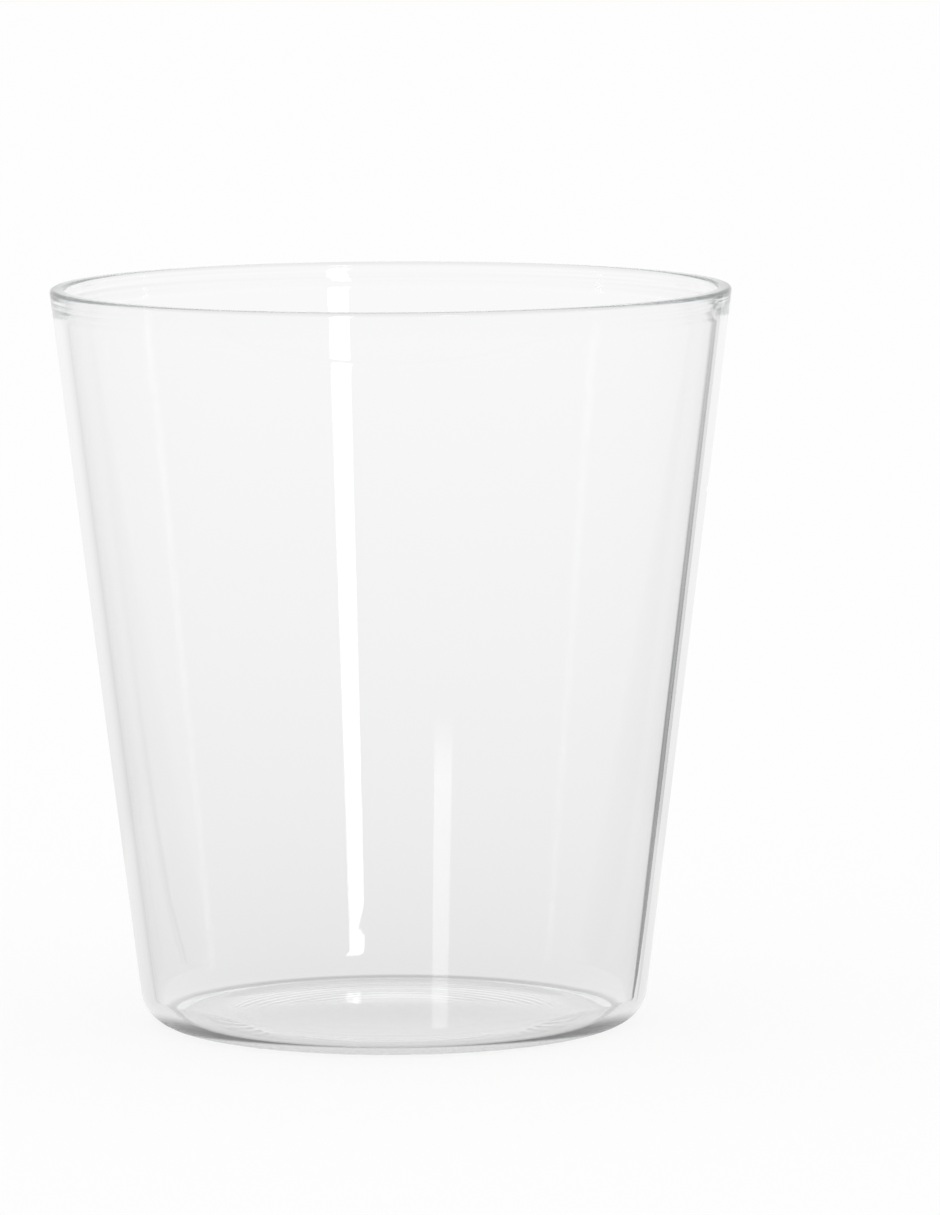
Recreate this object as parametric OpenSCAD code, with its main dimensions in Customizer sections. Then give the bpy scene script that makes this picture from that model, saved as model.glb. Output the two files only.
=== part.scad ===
// Thin-walled conical water tumbler in clear glass.
// One turned section makes the whole glass. Two level seams part it into the zones that a
// glassmaker names: the base with its heel, the side wall and the fire-polished rim.
// Millimetres, +Z up. The origin is on the axis, on the table that the glass stands on.

/* [Overall] */
// Diameter across the rim, over the outside of the bead
rim_d = 80; // [70:0.5:100]
// Height from the table to the top of the rim
glass_h = 87; // [60:0.5:130]
// Diameter at which the straight side would meet the table
foot_d = 59; // [48:0.5:72]

/* [Glass] */
// Thickness of the side wall, square to its slope
wall_t = 1.7; // [1.2:0.1:3]
// Thickness of the floor in the middle
floor_t = 1; // [0.8:0.1:5]

/* [Rim] */
// How much thicker the fire-polished bead is than the wall
bead_swell = 0.1; // [0.05:0.05:1]
// Radius of the hollow that blends the bead into the inside of the wall
blend_r = 4; // [1:0.25:6]

/* [Base] */
// Outer radius of the heel
heel_r = 4.2; // [3:0.1:6]
// Inner radius of the heel
heel_inner_r = 3.5; // [2.5:0.1:8]
// Width of the flat ring that the glass stands on
standing_ring = 4.8; // [1:0.1:8]
// Height of the push-up in the middle, over which the floor rises too
push_up_h = 1.2; // [0.3:0.1:3]

/* [Seams] */
// Straight wall that the base keeps above its heel, and the rim below its blend
seam_land = 1; // [0.5:0.5:5]

/* [Hidden] */

$fn = 240;
arc_steps = 24;
wall_colour = [0.86, 0.92, 0.93, 0.45];
rim_colour = [0.80, 0.90, 0.93, 0.55];
base_colour = [0.82, 0.89, 0.91, 0.50];

// Lip bead: a round as high as the glass, flush with the outside of the wall
bead_r = (wall_t + bead_swell) / 2;
bead_centre = [rim_d / 2 - bead_r, glass_h - bead_r];

// Slope of the side from upright, so that it leaves the foot and just touches the bead
lean = [bead_centre.x - foot_d / 2, bead_centre.y];
side_a = atan2(lean.x, lean.y) + asin(bead_r / norm(lean));

// Directions up the slope, and square to it out of the glass
up_side = [sin(side_a), cos(side_a)];
out_side = [cos(side_a), -sin(side_a)];

// Hollow under the bead: it touches the bead and the inside of the wall
blend_in = wall_t + blend_r - bead_r;
blend_drop = sqrt((bead_r + blend_r) ^ 2 - blend_in ^ 2);
blend_centre = bead_centre - blend_in * out_side - blend_drop * up_side;
to_bead_a = atan2(bead_centre.y - blend_centre.y, bead_centre.x - blend_centre.x);

// Point on the wall at a height, at a depth below its outside
function wall_at(z, depth) = [foot_d / 2 + z * tan(side_a) - depth / cos(side_a), z];

// Heels: rounds that touch a face of the wall and the level below it
heel_centre = wall_at(heel_r, heel_r);
heel_inner_centre = wall_at(floor_t + heel_inner_r, wall_t + heel_inner_r);

// Radius of a shallow cap from its half width and its rise
function cap_r(half_w, rise) = (half_w ^ 2 + rise ^ 2) / (2 * rise);

// Push-up inside the standing ring, and the floor over it, which rises from the inner heel
push_up_half_w = heel_centre.x - standing_ring;
push_up_r = cap_r(push_up_half_w, push_up_h);
push_up_a = asin(push_up_half_w / push_up_r);
floor_half_w = heel_inner_centre.x;
floor_r = cap_r(floor_half_w, push_up_h);
floor_a = asin(floor_half_w / floor_r);

// Heights of the level seams, clear of the heels and of the blend
base_seam = max(heel_centre.y, heel_inner_centre.y) + seam_land;
rim_seam = blend_centre.y - blend_r * sin(side_a) - seam_land;

// Points of an arc between two angles, with its first point left out where skip is 1
function arc(centre, r, from, to, skip = 0) = [
    for (i = [skip : arc_steps])
        let (a = from + (to - from) * i / arc_steps)
            centre + r * [cos(a), sin(a)]
];

// Half section of the base: push-up, heel, seam, inner heel and floor
function base_section() = concat(
    arc([0, push_up_h - push_up_r], push_up_r, 90, 90 - push_up_a),
    arc(heel_centre, heel_r, -90, -side_a),
    [wall_at(base_seam, 0), wall_at(base_seam, wall_t)],
    arc(heel_inner_centre, heel_inner_r, -side_a, -90),
    arc([0, floor_t + push_up_h - floor_r], floor_r, 90 - floor_a, 90, 1)
);

// Half section of the side wall: a straight band between the seams
function side_wall_section() = [
    wall_at(base_seam, 0),
    wall_at(rim_seam, 0),
    wall_at(rim_seam, wall_t),
    wall_at(base_seam, wall_t)
];

// Half section of the rim: seam, bead over the top and blend back to the inside of the wall
function rim_section() = concat(
    [wall_at(rim_seam, wall_t), wall_at(rim_seam, 0)],
    arc(bead_centre, bead_r, -side_a, 180 + to_bead_a),
    arc(blend_centre, blend_r, to_bead_a, -side_a, 1)
);

module base() {
    color(base_colour) rotate_extrude() polygon(base_section());
}

module side_wall() {
    color(wall_colour) rotate_extrude() polygon(side_wall_section());
}

module rim() {
    color(rim_colour) rotate_extrude() polygon(rim_section());
}

base();
side_wall();
rim();
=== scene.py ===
"""Clear conical water tumbler: its blown glass, the pale floor under it, the light and the camera.

The glass is one turned body in metres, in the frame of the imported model: the axis is Z and the table
is at 0.
"""
import math

import bmesh
import bpy
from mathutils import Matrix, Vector


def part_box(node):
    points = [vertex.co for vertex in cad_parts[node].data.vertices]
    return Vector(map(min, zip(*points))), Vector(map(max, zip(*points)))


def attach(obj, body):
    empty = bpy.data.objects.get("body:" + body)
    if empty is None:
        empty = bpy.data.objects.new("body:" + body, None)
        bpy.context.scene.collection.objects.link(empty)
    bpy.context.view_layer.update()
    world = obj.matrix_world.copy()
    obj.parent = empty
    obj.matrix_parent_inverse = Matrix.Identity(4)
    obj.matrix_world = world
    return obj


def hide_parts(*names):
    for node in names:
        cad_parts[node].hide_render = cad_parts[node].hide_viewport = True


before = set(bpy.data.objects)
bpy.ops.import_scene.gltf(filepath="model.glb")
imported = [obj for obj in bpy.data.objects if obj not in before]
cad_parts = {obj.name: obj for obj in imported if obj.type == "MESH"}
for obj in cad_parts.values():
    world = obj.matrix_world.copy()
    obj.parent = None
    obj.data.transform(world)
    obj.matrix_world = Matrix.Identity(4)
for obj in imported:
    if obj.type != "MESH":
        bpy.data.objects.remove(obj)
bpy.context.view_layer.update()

bl_info = {
    "name": "Water Tumbler",
    "version": (1, 0, 0),
    "blender": (4, 5, 0),
    "location": "3D View > Sidebar > Tumbler",
    "description": "Builds a clear blown tumbler with its studio stage",
    "category": "Add Mesh",
}

GLASS_NODES = sorted(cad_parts)
RIM_D = 2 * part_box("rim")[1].x
GLASS_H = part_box("rim")[1].z
PHOTO_W = 940
PHOTO_H = 1215
SENSOR_W = 36.0
WHITE = (1.0, 1.0, 1.0, 1.0)

# Steps of the section's curves and straights, and of its turn about the axis
CAP_STEPS = 12
FLAT_STEPS = 3
HEEL_STEPS = 28
WALL_STEPS = 30
LIP_STEPS = 18
TURN_STEPS = 288
# Points nearer than this are one point
WELD = 1e-7

# How closely the waves and ripples of the wall follow each other, across and up, per metre, and how
# many finer layers each has
WAVE_SCALE = (30.0, 30.0, 90.0)
WAVE_DETAIL = 1.0
RIPPLE_SCALE = (8.0, 8.0, 600.0)
RIPPLE_DETAIL = 2.0

# Half the side of the floor
FLOOR_HALF = 12.0
# Bearings in degrees from straight behind the glass, over which a side's painted shade comes and goes
PAINTED_DARK_SIDE = ((26.7, 28.0), (33.0, 36.0))
PAINTED_DIM_SIDE = ((26.0, 33.0), (42.0, 140.0))
# Distances past the contact ring's radius, over which its painted contact shadow comes and goes
RING_COMES = (-0.0006, 0.0)
RING_GOES = (0.0012, 0.0036)
# Share of the painted contact shadow that the ring keeps at the back, and where the rest comes in to the
# front
BACK_CONTACT = 0.55
FRONT_CONTACT = (-0.002, 0.008)
# Width of the edge of the painted shadow under the glass, its share at the front, and where the rest
# comes in
UNDER_EDGE = 0.001
FRONT_UNDER = 0.1
BACK_UNDER = (-0.024, 0.006)
# Shares of the sheet's reach over which it ends, and its roughness
SHEET_ENDS = (0.88, 1.12)
SHEET_ROUGHNESS = 0.03
# How much of the floor's glow, white to the camera and painted shade in the glass, shows instead of its
# matt paint
CAMERA_SHARE = 0.85
GLASS_SHARE = 0.95

# Distance and height of the strip light, and its width and length
STRIP_BACK = 1.0
STRIP_Z = 0.272
STRIP_SIZE = (0.125, 0.356)


class Tap:
    """A value in a node tree, for use in Python expressions."""

    def __init__(self, graph, socket):
        self.graph = graph
        self.socket = socket

    def __add__(self, other):
        return self.graph.maths("ADD", self, other)

    def __radd__(self, other):
        return self.graph.maths("ADD", other, self)

    def __sub__(self, other):
        return self.graph.maths("SUBTRACT", self, other)

    def __rsub__(self, other):
        return self.graph.maths("SUBTRACT", other, self)

    def __mul__(self, other):
        return self.graph.maths("MULTIPLY", self, other)

    def __rmul__(self, other):
        return self.graph.maths("MULTIPLY", other, self)

    def __truediv__(self, other):
        return self.graph.maths("DIVIDE", self, other)

    def __rtruediv__(self, other):
        return self.graph.maths("DIVIDE", other, self)


class Graph:
    """A node tree that is filled from Python."""

    def __init__(self, tree):
        self.tree = tree
        tree.nodes.clear()

    def node(self, kind, settings=None, inputs=None, out=0):
        """Add a node, set its settings first and then its sockets, and return one of its outputs."""
        made = self.tree.nodes.new(kind)
        for name, value in (settings or {}).items():
            setattr(made, name, value)
        for name, value in (inputs or {}).items():
            if isinstance(value, Tap):
                self.tree.links.new(value.socket, made.inputs[name])
            else:
                made.inputs[name].default_value = value
        return Tap(self, made.outputs[out]) if len(made.outputs) else None

    def maths(self, operation, first, second):
        """Work out one value from two."""
        return self.node("ShaderNodeMath", {"operation": operation}, {0: first, 1: second})

    def smooth_step(self, value, low, high):
        """Rise from 0 to 1 between two values."""
        return self.node(
            "ShaderNodeMapRange",
            {"interpolation_type": "SMOOTHSTEP"},
            {"Value": value, "From Min": low, "From Max": high},
        )


class TumblerShape(bpy.types.PropertyGroup):
    """Sizes of the glass."""

    rim_d: bpy.props.FloatProperty(
        name="Rim", description="Diameter across the rim", default=RIM_D, unit="LENGTH")
    glass_h: bpy.props.FloatProperty(
        name="Height", description="Height to the top of the rim", default=GLASS_H, unit="LENGTH")
    foot_d: bpy.props.FloatProperty(
        name="Foot", description="Diameter at which the straight side would meet the table",
        default=0.059, unit="LENGTH")
    wall_t: bpy.props.FloatProperty(
        name="Wall", description="Thickness of the side wall", default=0.0017, unit="LENGTH")
    floor_t: bpy.props.FloatProperty(
        name="Floor", description="Thickness of the floor in the middle", default=0.001, unit="LENGTH")
    lip_r: bpy.props.FloatProperty(
        name="Lip", description="Radius of the two melted corners of the lip", default=0.00045,
        unit="LENGTH")
    heel_r: bpy.props.FloatProperty(
        name="Heel", description="Outer radius of the heel", default=0.0042, unit="LENGTH")
    heel_inner_r: bpy.props.FloatProperty(
        name="Inner heel", description="Inner radius of the heel", default=0.0035, unit="LENGTH")
    standing_ring: bpy.props.FloatProperty(
        name="Standing ring", description="Width of the flat ring that the glass stands on",
        default=0.0048, unit="LENGTH")
    push_up_h: bpy.props.FloatProperty(
        name="Push-up", description="Height of the push-up under the floor", default=0.0012,
        unit="LENGTH")


class TumblerGlass(bpy.types.PropertyGroup):
    """Finish of the glass."""

    ior: bpy.props.FloatProperty(
        name="IOR", description="Refractive index of the glass", default=1.473)
    tint: bpy.props.FloatVectorProperty(
        name="Tint", description="Colour that thick glass takes on", size=3, subtype="COLOR",
        default=(0.93, 0.935, 0.935))
    density: bpy.props.FloatProperty(
        name="Density", description="How fast the tint builds up with depth, per metre", default=20.0)
    wave_h: bpy.props.FloatProperty(
        name="Waves", description="Height of the slow waves that blowing leaves in the wall",
        default=0.000012, unit="LENGTH")
    ripple_h: bpy.props.FloatProperty(
        name="Lip ripples", description="Height of the fine ripples that the flame leaves under the lip",
        default=0.00025, unit="LENGTH")
    ripple_low: bpy.props.FloatProperty(
        name="Ripple start", description="Height from which the ripples grow towards the lip",
        default=0.0836, unit="LENGTH")
    ripple_high: bpy.props.FloatProperty(
        name="Ripple full", description="Height from which the ripples are full", default=0.086,
        unit="LENGTH")


class TumblerStage(bpy.types.PropertyGroup):
    """Floor, light and camera."""

    camera_back: bpy.props.FloatProperty(
        name="Camera distance", description="Distance from the axis to the camera", default=1.0,
        unit="LENGTH")
    camera_z: bpy.props.FloatProperty(
        name="Camera height", description="Height of the camera over the table", default=0.1635,
        unit="LENGTH")
    camera_pitch: bpy.props.FloatProperty(
        name="Camera pitch", description="How far the camera looks down", default=math.radians(6.53),
        subtype="ANGLE")
    focal_px: bpy.props.FloatProperty(
        name="Focal length", description="Focal length in pixels of the photograph", default=8541.0)
    axis_px: bpy.props.FloatProperty(
        name="Axis place", description="Where the axis stands in the photograph, in pixels",
        default=392.2)
    camera_roll: bpy.props.FloatProperty(
        name="Camera roll", description="How far the camera leans to its right", default=0.005,
        subtype="ANGLE")
    bounces: bpy.props.IntProperty(
        name="Bounces", description="How often light may turn inside the glass", default=1000)
    room_level: bpy.props.FloatProperty(
        name="Room light", description="Level of the soft light all round", default=1.0)
    floor_tone: bpy.props.FloatProperty(
        name="Floor tone", description="Grey level of the matt floor", default=0.92)
    # Painted shade, seen only in the glass: the floor is painted greyer close to the glass, fading with
    # distance
    near_shade: bpy.props.FloatProperty(
        name="Near shade", description="How much greyer the floor shows in the glass close by",
        default=0.26)
    near_reach: bpy.props.FloatProperty(
        name="Near reach", description="Distance over which the near shade fades", default=0.28,
        unit="LENGTH")
    # Painted shade on the floor's right and left sides, seen only in the glass: where the bearings
    # start, how dark each side is painted and how far
    side_from: bpy.props.FloatProperty(
        name="Side start", description="How far from the axis the bearings of the set's sides are taken",
        default=0.034, unit="LENGTH")
    right_shade: bpy.props.FloatProperty(
        name="Right shade", description="How dark the side of the set to the right shows in the glass",
        default=0.97)
    right_reach: bpy.props.FloatProperty(
        name="Right reach", description="Distance over which the right shade fades", default=0.55,
        unit="LENGTH")
    dim_right: bpy.props.FloatProperty(
        name="Dim right", description="How dark the rest of the right side shows in the glass",
        default=0.16)
    left_shade: bpy.props.FloatProperty(
        name="Left shade", description="How dark the side of the set to the left shows in the glass",
        default=0.18)
    # Painted contact shadow, seen only in the glass: a darker ring painted where the glass stands
    ring_r: bpy.props.FloatProperty(
        name="Contact ring", description="Radius at which the glass leaves the floor", default=0.027,
        unit="LENGTH")
    contact_shade: bpy.props.FloatProperty(
        name="Contact shade", description="How dark the floor shows where the glass stands on it",
        default=0.8)
    # Painted shadow under the glass, seen only in the glass
    under_shade: bpy.props.FloatProperty(
        name="Under shade", description="How much greyer the floor shows under the glass", default=0.45)
    sheet_r: bpy.props.FloatProperty(
        name="Sheet", description="How far the polished sheet under the glass reaches", default=0.13,
        unit="LENGTH")
    sheet_sheen: bpy.props.FloatProperty(
        name="Sheen", description="How much of the light the polished sheet mirrors", default=0.5)
    strip_bearing: bpy.props.FloatProperty(
        name="Strip bearing", description="How far to the right of the camera the strip light stands",
        default=math.radians(19.5), subtype="ANGLE")
    strip_lean: bpy.props.FloatProperty(
        name="Strip lean", description="How far the strip light leans to its side",
        default=math.radians(-9.0), subtype="ANGLE")
    strip_level: bpy.props.FloatProperty(
        name="Strip level", description="Brightness of the strip light", default=4.5)


class Outline:
    """Half section of a turned body in the XZ plane, drawn from point to point."""

    def __init__(self, start):
        self.bm = bmesh.new()
        self.tip = self.bm.verts.new((start.x, 0.0, start.y))

    def line(self, end, steps):
        """Draw a straight stretch to a point."""
        begin = self.tip.co.copy()
        stop = Vector((end.x, 0.0, end.y))
        for i in range(1, steps + 1):
            self.tip = bmesh.ops.extrude_vert_indiv(self.bm, verts=[self.tip])["verts"][0]
            self.tip.co = begin.lerp(stop, i / steps)

    def arc(self, centre, angle, steps):
        """Swing the tip about a centre. A positive angle turns from +X towards +Z."""
        made = bmesh.ops.spin(
            self.bm, geom=[self.tip], cent=(centre.x, 0.0, centre.y), axis=(0.0, -1.0, 0.0),
            angle=angle, steps=steps)
        self.tip = made["geom_last"][0]

    def turn(self, steps):
        """Turn the section into a closed body."""
        bmesh.ops.spin(
            self.bm, geom=self.bm.verts[:] + self.bm.edges[:], cent=(0.0, 0.0, 0.0),
            axis=(0.0, 0.0, 1.0), angle=2 * math.pi, steps=steps, use_merge=True)
        bmesh.ops.remove_doubles(self.bm, verts=self.bm.verts[:], dist=WELD)
        bmesh.ops.recalc_face_normals(self.bm, faces=self.bm.faces[:])


def glass_outline(s):
    """Section of the tumbler, from the middle of the push-up round to the middle of the floor."""
    lip = Vector((s.rim_d / 2 - s.lip_r, s.glass_h - s.lip_r))
    lean = lip - Vector((s.foot_d / 2, 0.0))
    slope = math.atan2(lean.x, lean.y) + math.asin(s.lip_r / lean.length)
    out = Vector((math.cos(slope), -math.sin(slope)))

    def wall_at(z, depth):
        return Vector((s.foot_d / 2 + z * math.tan(slope) - depth / math.cos(slope), z))

    lip_inner = wall_at(lip.y, s.wall_t - s.lip_r)
    heel = wall_at(s.heel_r, s.heel_r)
    heel_inner = wall_at(s.floor_t + s.heel_inner_r, s.wall_t + s.heel_inner_r)
    heel_turn = math.pi / 2 - slope

    def cap_r(half_w):
        return (half_w ** 2 + s.push_up_h ** 2) / (2 * s.push_up_h)

    push_up_w = heel.x - s.standing_ring
    push_up_r = cap_r(push_up_w)
    floor_r = cap_r(heel_inner.x)
    outline = Outline(Vector((0.0, s.push_up_h)))
    outline.arc(Vector((0.0, s.push_up_h - push_up_r)), -math.asin(push_up_w / push_up_r), CAP_STEPS)
    outline.line(Vector((heel.x, 0.0)), FLAT_STEPS)
    outline.arc(heel, heel_turn, HEEL_STEPS)
    outline.line(lip + s.lip_r * out, WALL_STEPS)
    outline.arc(lip, math.pi / 2 + slope, LIP_STEPS)
    outline.line(Vector((lip_inner.x, s.glass_h)), FLAT_STEPS)
    outline.arc(lip_inner, math.pi / 2 - slope, LIP_STEPS)
    outline.line(heel_inner + s.heel_inner_r * out, WALL_STEPS)
    outline.arc(heel_inner, -heel_turn, HEEL_STEPS)
    outline.arc(
        Vector((0.0, s.floor_t + s.push_up_h - floor_r)), math.asin(heel_inner.x / floor_r), CAP_STEPS)
    return outline


def clear_glass(g):
    """Colourless blown glass, with slow waves in its wall and fine ripples under its lip."""
    mat = bpy.data.materials.new("clear_glass")
    mat.use_nodes = True
    graph = Graph(mat.node_tree)
    place = graph.node("ShaderNodeTexCoord", out="Object")
    z = graph.node("ShaderNodeSeparateXYZ", inputs={0: place}, out="Z")

    def unevenness(scale, detail):
        stretched = graph.node("ShaderNodeMapping", inputs={"Vector": place, "Scale": scale})
        return graph.node(
            "ShaderNodeTexNoise", inputs={"Vector": stretched, "Scale": 1.0, "Detail": detail})

    near_lip = graph.smooth_step(z, g.ripple_low, g.ripple_high)
    waves = unevenness(WAVE_SCALE, WAVE_DETAIL) * g.wave_h
    ripples = unevenness(RIPPLE_SCALE, RIPPLE_DETAIL) * near_lip * g.ripple_h
    uneven = graph.node(
        "ShaderNodeBump", inputs={"Height": waves + ripples, "Distance": 1.0, "Strength": 1.0})
    surface = graph.node(
        "ShaderNodeBsdfPrincipled",
        inputs={
            "Base Color": WHITE,
            "Roughness": 0.0,
            "Normal": uneven,
            "IOR": g.ior,
            "Transmission Weight": 1.0,
        })
    depth = graph.node(
        "ShaderNodeVolumeAbsorption", inputs={"Color": (*g.tint, 1.0), "Density": g.density})
    graph.node("ShaderNodeOutputMaterial", inputs={"Surface": surface, "Volume": depth})
    return mat


class TUMBLER_OT_glass(bpy.types.Operator):
    """Turn the blown glass of the tumbler in one piece"""

    bl_idname = "tumbler.glass"
    bl_label = "Tumbler glass"

    def execute(self, context):
        outline = glass_outline(context.scene.tumbler_shape)
        outline.turn(TURN_STEPS)
        mesh = bpy.data.meshes.new("tumbler_glass")
        outline.bm.to_mesh(mesh)
        outline.bm.free()
        for face in mesh.polygons:
            face.use_smooth = True
        piece = bpy.data.objects.new("tumbler_glass", mesh)
        context.scene.collection.objects.link(piece)
        mesh.materials.append(clear_glass(context.scene.tumbler_glass))
        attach(piece, "root")
        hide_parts(*GLASS_NODES)
        return {"FINISHED"}


def window(graph, value, comes, goes):
    """Rise from 0 to 1 over one pair of values and fall back over another."""
    return graph.smooth_step(value, *comes) - graph.smooth_step(value, *goes)


def side_window(graph, bearing, side):
    """Pick out a side of the set by its bearings in degrees."""
    comes, goes = ([math.radians(angle) for angle in pair] for pair in side)
    return window(graph, bearing, comes, goes)


def floor_paint(st):
    """Pale matt floor that shows near white to the camera and keeps its shadow.

    Only the glass sees painted shade in the floor: painted greyer close by, painted dark sides to the
    right and left, a painted shadow where the glass stands and under it, and a polished sheet under it.
    """
    mat = bpy.data.materials.new("pale_floor")
    mat.use_nodes = True
    graph = Graph(mat.node_tree)
    camera = graph.node("ShaderNodeLightPath", out="Is Camera Ray")
    glossy = graph.node("ShaderNodeLightPath", out="Is Glossy Ray")
    through = graph.node("ShaderNodeLightPath", out="Is Transmission Ray")
    mirrored = graph.maths("MAXIMUM", glossy, through)
    place = graph.node("ShaderNodeTexCoord", out="Object")
    x = graph.node("ShaderNodeSeparateXYZ", inputs={0: place}, out="X")
    y = graph.node("ShaderNodeSeparateXYZ", inputs={0: place}, out="Y")
    reach = graph.node("ShaderNodeVectorMath", {"operation": "LENGTH"}, {0: place}, out="Value")
    # Painted shade: the floor painted greyer close to the glass
    near = st.near_shade / (1.0 + reach / st.near_reach)
    # Painted dark and dim sides of the floor to the right and left, seen only in the glass
    far = reach / st.right_reach
    fade = 1.0 / (1.0 + far * far)
    right = graph.maths("ARCTAN2", x - st.side_from, y)
    left = graph.maths("ARCTAN2", -st.side_from - x, y)
    dark = side_window(graph, right, PAINTED_DARK_SIDE)
    dim_right = side_window(graph, right, PAINTED_DIM_SIDE)
    dim_left = side_window(graph, left, PAINTED_DIM_SIDE)
    # Painted contact shadow in a ring where the glass stands, darker to the front
    front = 1.0 - graph.smooth_step(y, *FRONT_CONTACT)
    contact = window(graph, reach - st.ring_r, RING_COMES, RING_GOES) * (
        BACK_CONTACT + (1.0 - BACK_CONTACT) * front)
    # Painted shadow on the floor under the glass, weaker at the front
    under = (1.0 - graph.smooth_step(reach, st.ring_r - UNDER_EDGE, st.ring_r)) * (
        FRONT_UNDER + (1.0 - FRONT_UNDER) * graph.smooth_step(y, *BACK_UNDER))
    # All the painted shades multiplied together, seen only in the glass
    tone = (1.0 - near) * (1.0 - st.right_shade * dark * fade) * (1.0 - st.contact_shade * contact)
    tone = tone * (1.0 - st.under_shade * under)
    tone = tone * (1.0 - st.left_shade * dim_left) * (1.0 - st.dim_right * dim_right)
    # The glow is white to the camera and carries the painted shade in the glass
    shown = tone + (1.0 - tone) * camera
    matt = graph.node("ShaderNodeBsdfDiffuse", inputs={"Color": (*[st.floor_tone] * 3, 1.0)})
    white = graph.node("ShaderNodeEmission", inputs={"Color": shown, "Strength": 1.0})
    share = CAMERA_SHARE * camera + GLASS_SHARE * mirrored
    mix = graph.node("ShaderNodeMixShader", inputs={"Fac": share, 1: matt, 2: white})
    polish = graph.node(
        "ShaderNodeBsdfGlossy", inputs={"Color": WHITE, "Roughness": SHEET_ROUGHNESS})
    sheet = 1.0 - graph.smooth_step(reach / st.sheet_r, *SHEET_ENDS)
    sheen = st.sheet_sheen * sheet * glossy * (1.0 - through)
    top = graph.node("ShaderNodeMixShader", inputs={"Fac": sheen, 1: mix, 2: polish})
    graph.node("ShaderNodeOutputMaterial", inputs={"Surface": top})
    return mat


def lay_floor(scene, st):
    """Lay a wide floor at the level that the glass stands on."""
    bm = bmesh.new()
    bmesh.ops.create_grid(bm, x_segments=1, y_segments=1, size=FLOOR_HALF)
    mesh = bpy.data.meshes.new("floor")
    bm.to_mesh(mesh)
    bm.free()
    floor = bpy.data.objects.new("floor", mesh)
    scene.collection.objects.link(floor)
    mesh.materials.append(floor_paint(st))


def light_room(scene, st):
    """Light the room evenly all round, and let light turn often inside the glass."""
    world = bpy.data.worlds.new("studio")
    world.use_nodes = True
    scene.world = world
    graph = Graph(world.node_tree)
    room = graph.node("ShaderNodeBackground", inputs={"Color": WHITE, "Strength": st.room_level})
    graph.node("ShaderNodeOutputWorld", inputs={"Surface": room})
    scene.cycles.max_bounces = st.bounces
    scene.cycles.glossy_bounces = st.bounces
    scene.cycles.transmission_bounces = st.bounces


def hang_strip_light(scene, st):
    """Hang a flat strip light, even in brightness, that faces the axis from beside the camera."""
    width, length = STRIP_SIZE
    lamp = bpy.data.lights.new("strip_light", "AREA")
    lamp.shape = "RECTANGLE"
    lamp.size = width
    lamp.size_y = length
    lamp.energy = st.strip_level * math.pi * width * length
    light = bpy.data.objects.new("strip_light", lamp)
    scene.collection.objects.link(light)
    turn = st.strip_bearing
    place = Vector((STRIP_BACK * math.sin(turn), -STRIP_BACK * math.cos(turn), STRIP_Z))
    aim = Vector((0.0, 0.0, STRIP_Z))
    light.location = place
    light.rotation_euler = (aim - place).to_track_quat("-Z", "Y").to_euler()
    light.rotation_euler.rotate_axis("Z", st.strip_lean)
    light.visible_camera = False


def place_camera(scene, st):
    """Place the camera where the photograph was taken from."""
    lens = bpy.data.cameras.new("photo_camera")
    lens.sensor_width = SENSOR_W
    lens.lens = st.focal_px * SENSOR_W / PHOTO_H
    lens.shift_x = (PHOTO_W / 2 - st.axis_px) / PHOTO_H
    camera = bpy.data.objects.new("photo_camera", lens)
    scene.collection.objects.link(camera)
    camera.location = (0.0, -st.camera_back, st.camera_z)
    camera.rotation_mode = "XYZ"
    camera.rotation_euler = (math.pi / 2 - st.camera_pitch, 0.0, 0.0)
    camera.rotation_euler.rotate_axis("Z", -st.camera_roll)
    scene.camera = camera


class TUMBLER_OT_stage(bpy.types.Operator):
    """Lay the floor, set the light and place the camera"""

    bl_idname = "tumbler.stage"
    bl_label = "Studio stage"

    def execute(self, context):
        scene = context.scene
        st = scene.tumbler_stage
        scene.view_settings.view_transform = "Standard"
        lay_floor(scene, st)
        light_room(scene, st)
        hang_strip_light(scene, st)
        place_camera(scene, st)
        return {"FINISHED"}


class TUMBLER_PT_panel(bpy.types.Panel):
    """Tumbler settings and build buttons"""

    bl_idname = "TUMBLER_PT_panel"
    bl_label = "Tumbler"
    bl_space_type = "VIEW_3D"
    bl_region_type = "UI"
    bl_category = "Tumbler"

    def draw(self, context):
        for group in ("tumbler_shape", "tumbler_glass", "tumbler_stage"):
            box = self.layout.box()
            settings = getattr(context.scene, group)
            for name in settings.__annotations__:
                box.prop(settings, name)
        self.layout.operator(TUMBLER_OT_glass.bl_idname)
        self.layout.operator(TUMBLER_OT_stage.bl_idname)


CLASSES = (
    TumblerShape,
    TumblerGlass,
    TumblerStage,
    TUMBLER_OT_glass,
    TUMBLER_OT_stage,
    TUMBLER_PT_panel,
)


def register():
    for cls in CLASSES:
        bpy.utils.register_class(cls)
    bpy.types.Scene.tumbler_shape = bpy.props.PointerProperty(type=TumblerShape)
    bpy.types.Scene.tumbler_glass = bpy.props.PointerProperty(type=TumblerGlass)
    bpy.types.Scene.tumbler_stage = bpy.props.PointerProperty(type=TumblerStage)


def unregister():
    del bpy.types.Scene.tumbler_stage
    del bpy.types.Scene.tumbler_glass
    del bpy.types.Scene.tumbler_shape
    for cls in reversed(CLASSES):
        bpy.utils.unregister_class(cls)


def main():
    register()
    bpy.ops.tumbler.stage()
    bpy.ops.tumbler.glass()


if __name__ == "__main__":
    main()
